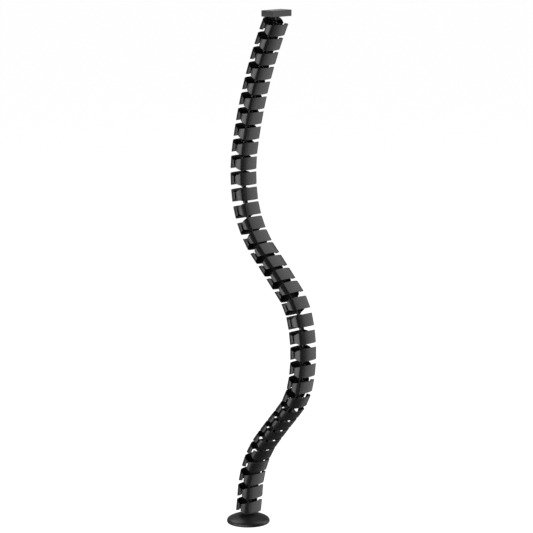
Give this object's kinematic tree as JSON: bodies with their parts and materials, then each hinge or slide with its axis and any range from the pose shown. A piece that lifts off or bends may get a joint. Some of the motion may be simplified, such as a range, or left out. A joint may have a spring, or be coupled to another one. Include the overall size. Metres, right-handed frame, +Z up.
{
  "type": "cable spine",
  "caption": "Free-standing S-curved cable spine: slit oval vertebrae on ball joints, weighted round foot and a flat desk plate.",
  "frame": {"origin": "centre of the foot's underside, on the floor", "axes": "+Z up the spine, X in the plane of the S bend, Y from slit to slit"},
  "size_m": [0.2415, 0.0984, 1.1768],
  "materials": {
    "vertebra_plastic": "satin black moulded plastic",
    "plate_plastic": "satin black moulded plastic",
    "foot_plastic": "satin black moulded plastic",
    "weight_steel": "plain cast and turned",
    "pad_rubber": "matt",
    "screw_steel": "zinc plated"
  },
  "bodies": {
    "foot": {"foot_cover": "foot_plastic", "foot_weight": "weight_steel", "foot_pad": "pad_rubber", "foot_screw": "screw_steel"},
    "vertebra_35": {"vertebra_35": "vertebra_plastic"},
    "vertebra_34": {"vertebra_34": "vertebra_plastic"},
    "vertebra_33": {"vertebra_33": "vertebra_plastic"},
    "vertebra_32": {"vertebra_32": "vertebra_plastic"},
    "vertebra_31": {"vertebra_31": "vertebra_plastic"},
    "vertebra_30": {"vertebra_30": "vertebra_plastic"},
    "vertebra_29": {"vertebra_29": "vertebra_plastic"},
    "vertebra_28": {"vertebra_28": "vertebra_plastic"},
    "vertebra_27": {"vertebra_27": "vertebra_plastic"},
    "vertebra_26": {"vertebra_26": "vertebra_plastic"},
    "vertebra_25": {"vertebra_25": "vertebra_plastic"},
    "vertebra_24": {"vertebra_24": "vertebra_plastic"},
    "vertebra_23": {"vertebra_23": "vertebra_plastic"},
    "vertebra_22": {"vertebra_22": "vertebra_plastic"},
    "vertebra_21": {"vertebra_21": "vertebra_plastic"},
    "vertebra_20": {"vertebra_20": "vertebra_plastic"},
    "vertebra_19": {"vertebra_19": "vertebra_plastic"},
    "vertebra_18": {"vertebra_18": "vertebra_plastic"},
    "vertebra_17": {"vertebra_17": "vertebra_plastic"},
    "vertebra_16": {"vertebra_16": "vertebra_plastic"},
    "vertebra_15": {"vertebra_15": "vertebra_plastic"},
    "vertebra_14": {"vertebra_14": "vertebra_plastic"},
    "vertebra_13": {"vertebra_13": "vertebra_plastic"},
    "vertebra_12": {"vertebra_12": "vertebra_plastic"},
    "vertebra_11": {"vertebra_11": "vertebra_plastic"},
    "vertebra_10": {"vertebra_10": "vertebra_plastic"},
    "vertebra_09": {"vertebra_09": "vertebra_plastic"},
    "vertebra_08": {"vertebra_08": "vertebra_plastic"},
    "vertebra_07": {"vertebra_07": "vertebra_plastic"},
    "vertebra_06": {"vertebra_06": "vertebra_plastic"},
    "vertebra_05": {"vertebra_05": "vertebra_plastic"},
    "vertebra_04": {"vertebra_04": "vertebra_plastic"},
    "vertebra_03": {"vertebra_03": "vertebra_plastic"},
    "vertebra_02": {"vertebra_02": "vertebra_plastic"},
    "vertebra_01": {"vertebra_01": "vertebra_plastic"},
    "desk_plate": {"desk_plate": "plate_plastic"}
  },
  "joints": [
    {"name": "ball_foot", "type": "hinge", "parent": "foot", "child": "vertebra_35", "pos_m": [0, 0, 0.0231], "axis": [0, 1, 0], "range_deg": [-23.38, 8.62]},
    {"name": "ball_34", "type": "hinge", "parent": "vertebra_35", "child": "vertebra_34", "pos_m": [0.00462, 0, 0.0588], "axis": [0, 1, 0], "range_deg": [-14.5, 17.5]},
    {"name": "ball_33", "type": "hinge", "parent": "vertebra_34", "child": "vertebra_33", "pos_m": [0.00831, 0, 0.09461], "axis": [0.9947, 0, -0.1024], "range_deg": [-11.3, 11.3]},
    {"name": "ball_32", "type": "hinge", "parent": "vertebra_33", "child": "vertebra_32", "pos_m": [0.01719, 0, 0.1295], "axis": [0, 1, 0], "range_deg": [-24.4, 7.6]},
    {"name": "ball_31", "type": "hinge", "parent": "vertebra_32", "child": "vertebra_31", "pos_m": [0.03107, 0, 0.16272], "axis": [0.9227, 0, -0.3856], "range_deg": [-11.3, 11.3]},
    {"name": "ball_30", "type": "hinge", "parent": "vertebra_31", "child": "vertebra_30", "pos_m": [0.04966, 0, 0.19355], "axis": [0, 1, 0], "range_deg": [-24.4, 7.6]},
    {"name": "ball_29", "type": "hinge", "parent": "vertebra_30", "child": "vertebra_29", "pos_m": [0.07255, 0, 0.22134], "axis": [0.7718, 0, -0.6358], "range_deg": [-15.95, 15.95]},
    {"name": "ball_28", "type": "hinge", "parent": "vertebra_29", "child": "vertebra_28", "pos_m": [0.09606, 0, 0.2486], "axis": [0, 1, 0], "range_deg": [-17.3, 14.7]},
    {"name": "ball_27", "type": "hinge", "parent": "vertebra_28", "child": "vertebra_27", "pos_m": [0.12019, 0, 0.27531], "axis": [0.7422, 0, -0.6702], "range_deg": [-15.9, 15.9]},
    {"name": "ball_26", "type": "hinge", "parent": "vertebra_27", "child": "vertebra_26", "pos_m": [0.14346, 0, 0.30278], "axis": [0, 1, 0], "range_deg": [-2.7, 29.3]},
    {"name": "ball_25", "type": "hinge", "parent": "vertebra_26", "child": "vertebra_25", "pos_m": [0.15979, 0, 0.33486], "axis": [0.8912, 0, -0.4537], "range_deg": [-7.5, 7.5]},
    {"name": "ball_24", "type": "hinge", "parent": "vertebra_25", "child": "vertebra_24", "pos_m": [0.16831, 0, 0.36984], "axis": [0, 1, 0], "range_deg": [-8.9, 23.1]},
    {"name": "ball_23", "type": "hinge", "parent": "vertebra_24", "child": "vertebra_23", "pos_m": [0.17243, 0, 0.4056], "axis": [0.9934, 0, -0.1146], "range_deg": [-12.3, 12.3]},
    {"name": "ball_22", "type": "hinge", "parent": "vertebra_23", "child": "vertebra_22", "pos_m": [0.17211, 0, 0.4416], "axis": [0, 1, 0], "range_deg": [-8.9, 23.1]},
    {"name": "ball_21", "type": "hinge", "parent": "vertebra_22", "child": "vertebra_21", "pos_m": [0.16733, 0, 0.47728], "axis": [0.9912, 0, 0.1326], "range_deg": [-12.3, 12.3]},
    {"name": "ball_20", "type": "hinge", "parent": "vertebra_21", "child": "vertebra_20", "pos_m": [0.15818, 0, 0.5121], "axis": [0, 1, 0], "range_deg": [-1.7, 30.3]},
    {"name": "ball_19", "type": "hinge", "parent": "vertebra_20", "child": "vertebra_19", "pos_m": [0.14072, 0, 0.54358], "axis": [0.8745, 0, 0.4851], "range_deg": [-6.7, 6.7]},
    {"name": "ball_18", "type": "hinge", "parent": "vertebra_19", "child": "vertebra_18", "pos_m": [0.11602, 0, 0.56977], "axis": [0, 1, 0], "range_deg": [-15.4, 16.6]},
    {"name": "ball_17", "type": "hinge", "parent": "vertebra_18", "child": "vertebra_17", "pos_m": [0.09105, 0, 0.5957], "axis": [0.7203, 0, 0.6937], "range_deg": [-15.99, 15.99]},
    {"name": "ball_16", "type": "hinge", "parent": "vertebra_17", "child": "vertebra_16", "pos_m": [0.06581, 0, 0.62137], "axis": [0, 1, 0], "range_deg": [-15.4, 16.6]},
    {"name": "ball_15", "type": "hinge", "parent": "vertebra_16", "child": "vertebra_15", "pos_m": [0.0403, 0, 0.64677], "axis": [0.7056, 0, 0.7086], "range_deg": [-10.7, 10.7]},
    {"name": "ball_14", "type": "hinge", "parent": "vertebra_15", "child": "vertebra_14", "pos_m": [0.01918, 0, 0.67593], "axis": [0, 1, 0], "range_deg": [-25.3, 6.7]},
    {"name": "ball_13", "type": "hinge", "parent": "vertebra_14", "child": "vertebra_13", "pos_m": [0.00305, 0, 0.70811], "axis": [0.894, 0, 0.4481], "range_deg": [-10.7, 10.7]},
    {"name": "ball_12", "type": "hinge", "parent": "vertebra_13", "child": "vertebra_12", "pos_m": [-0.00767, 0, 0.74248], "axis": [0, 1, 0], "range_deg": [-25.3, 6.7]},
    {"name": "ball_11", "type": "hinge", "parent": "vertebra_12", "child": "vertebra_11", "pos_m": [-0.01269, 0, 0.77813], "axis": [0.9902, 0, 0.1395], "range_deg": [-13.1, 13.1]},
    {"name": "ball_10", "type": "hinge", "parent": "vertebra_11", "child": "vertebra_10", "pos_m": [-0.01396, 0, 0.81411], "axis": [0, 1, 0], "range_deg": [-22, 10]},
    {"name": "ball_09", "type": "hinge", "parent": "vertebra_10", "child": "vertebra_09", "pos_m": [-0.01146, 0, 0.85002], "axis": [0.9976, 0, -0.0694], "range_deg": [-13.1, 13.1]},
    {"name": "ball_08", "type": "hinge", "parent": "vertebra_09", "child": "vertebra_08", "pos_m": [-0.00522, 0, 0.88547], "axis": [0, 1, 0], "range_deg": [-18.04, 13.96]},
    {"name": "ball_07", "type": "hinge", "parent": "vertebra_08", "child": "vertebra_07", "pos_m": [0.00228, 0, 0.92068], "axis": [0.9781, 0, -0.2083], "range_deg": [-15.87, 15.87]},
    {"name": "ball_06", "type": "hinge", "parent": "vertebra_07", "child": "vertebra_06", "pos_m": [0.01102, 0, 0.95561], "axis": [0, 1, 0], "range_deg": [-18.04, 13.96]},
    {"name": "ball_05", "type": "hinge", "parent": "vertebra_06", "child": "vertebra_05", "pos_m": [0.021, 0, 0.99019], "axis": [0.9608, 0, -0.2773], "range_deg": [-15.87, 15.87]},
    {"name": "ball_04", "type": "hinge", "parent": "vertebra_05", "child": "vertebra_04", "pos_m": [0.03221, 0, 1.02441], "axis": [0, 1, 0], "range_deg": [-18.04, 13.96]},
    {"name": "ball_03", "type": "hinge", "parent": "vertebra_04", "child": "vertebra_03", "pos_m": [0.04463, 0, 1.05819], "axis": [0.9386, 0, -0.345], "range_deg": [-15.87, 15.87]},
    {"name": "ball_02", "type": "hinge", "parent": "vertebra_03", "child": "vertebra_02", "pos_m": [0.05825, 0, 1.09152], "axis": [0, 1, 0], "range_deg": [-18.04, 13.96]},
    {"name": "ball_01", "type": "hinge", "parent": "vertebra_02", "child": "vertebra_01", "pos_m": [0.07304, 0, 1.12434], "axis": [0.9117, 0, -0.4109], "range_deg": [-15.87, 15.87]},
    {"name": "ball_plate", "type": "hinge", "parent": "vertebra_01", "child": "desk_plate", "pos_m": [0.08899, 0, 1.15662], "axis": [0, 1, 0], "range_deg": [-3.7, 56.3]}
  ]
}
